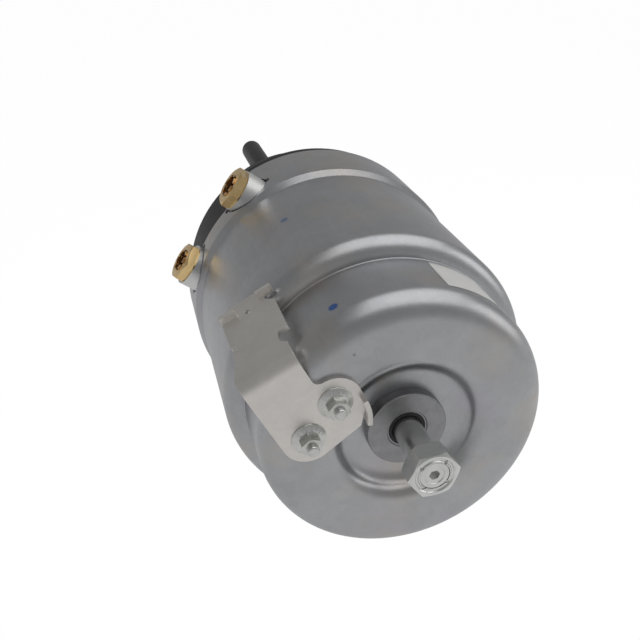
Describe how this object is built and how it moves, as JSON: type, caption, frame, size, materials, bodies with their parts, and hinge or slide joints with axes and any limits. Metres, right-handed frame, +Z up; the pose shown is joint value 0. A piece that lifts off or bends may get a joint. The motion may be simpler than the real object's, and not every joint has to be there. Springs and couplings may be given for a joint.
{
  "type": "air brake chamber",
  "caption": "Combined service and spring brake chamber for a disc brake, with galvanised spring can, brass push-in ports and a release bolt.",
  "frame": {"origin": "centre of the two mounting studs, in the plane of the flat mounting face, on the chamber's axis", "axes": "+Y out of the mounting face along the studs and pushrod, so the release bolt points to -Y; +Z up as in the picture"},
  "size_m": [0.198, 0.3801, 0.185],
  "materials": {
    "galvanised": "satin galvanised sheet",
    "black_housing": "satin black paint",
    "black_stud": "satin black coating",
    "die_cast": "as cast",
    "brass": "turned",
    "collet": "dark",
    "zinc": "bright zinc plate",
    "bush_steel": "grey zinc plate",
    "bracket_steel": "satin zinc plate",
    "rubber": "matt",
    "spring_steel": "dark coated spring steel",
    "guide_plastic": "low-friction plastic",
    "piston_alloy": "as cast",
    "tube_steel": "ground",
    "rod_steel": "zinc plate",
    "label_film": "blank film"
  },
  "bodies": {
    "housing": {"spring_housing": "galvanised", "service_housing": "black_housing", "mounting_studs": "black_stud", "flange_body": "die_cast", "hub_guide_ring": "guide_plastic", "hub_seal_rings": "rubber", "flange_seal_ring": "rubber", "service_port_fitting": "brass", "service_port_collet": "collet", "service_port_ring": "rubber", "parking_port_fitting": "brass", "parking_port_collet": "collet", "parking_port_ring": "rubber", "bolt_bush": "bush_steel", "bolt_seal": "rubber", "bush_retaining_ring": "zinc", "bracket": "bracket_steel", "bracket_studs": "zinc", "bracket_washers": "zinc", "bracket_nuts": "zinc", "label": "label_film", "diaphragm": "rubber", "return_spring": "spring_steel", "pushrod_boot": "rubber", "power_spring": "spring_steel"},
    "piston": {"parking_piston": "piston_alloy", "piston_seal": "rubber", "piston_guide_ring": "guide_plastic", "piston_tube": "tube_steel", "tube_end_plug": "piston_alloy"},
    "rod": {"push_plate": "rod_steel", "pushrod": "rod_steel", "boot_clamp_ring": "zinc"},
    "bolt_carrier": {"bolt_thrust_washer": "bush_steel"},
    "bolt": {"release_bolt": "zinc", "release_hex_nut": "zinc"}
  },
  "joints": [
    {"name": "parking_piston_slide", "type": "slide", "parent": "housing", "child": "piston", "axis": [0, 1, 0], "range_m": [0, 0.057], "deforming": ["power_spring"]},
    {"name": "pushrod_slide", "type": "slide", "parent": "housing", "child": "rod", "axis": [0, 1, 0], "range_m": [0, 0.057], "deforming": ["return_spring", "diaphragm", "pushrod_boot"]},
    {"name": "release_bolt_travel", "type": "slide", "parent": "housing", "child": "bolt_carrier", "axis": [0, 1, 0], "range_m": [0, 0.027]},
    {"name": "release_bolt_turn", "type": "hinge", "parent": "bolt_carrier", "child": "bolt", "pos_m": [0, -0.306, 0], "axis": [0, 1, 0], "range_deg": [0, 4860]}
  ],
  "couplings": [
    {"joint": "pushrod_slide", "follows": "parking_piston_slide", "ratio": 1},
    {"joint": "release_bolt_turn", "follows": "release_bolt_travel", "rad_per_m": 3141.6}
  ]
}
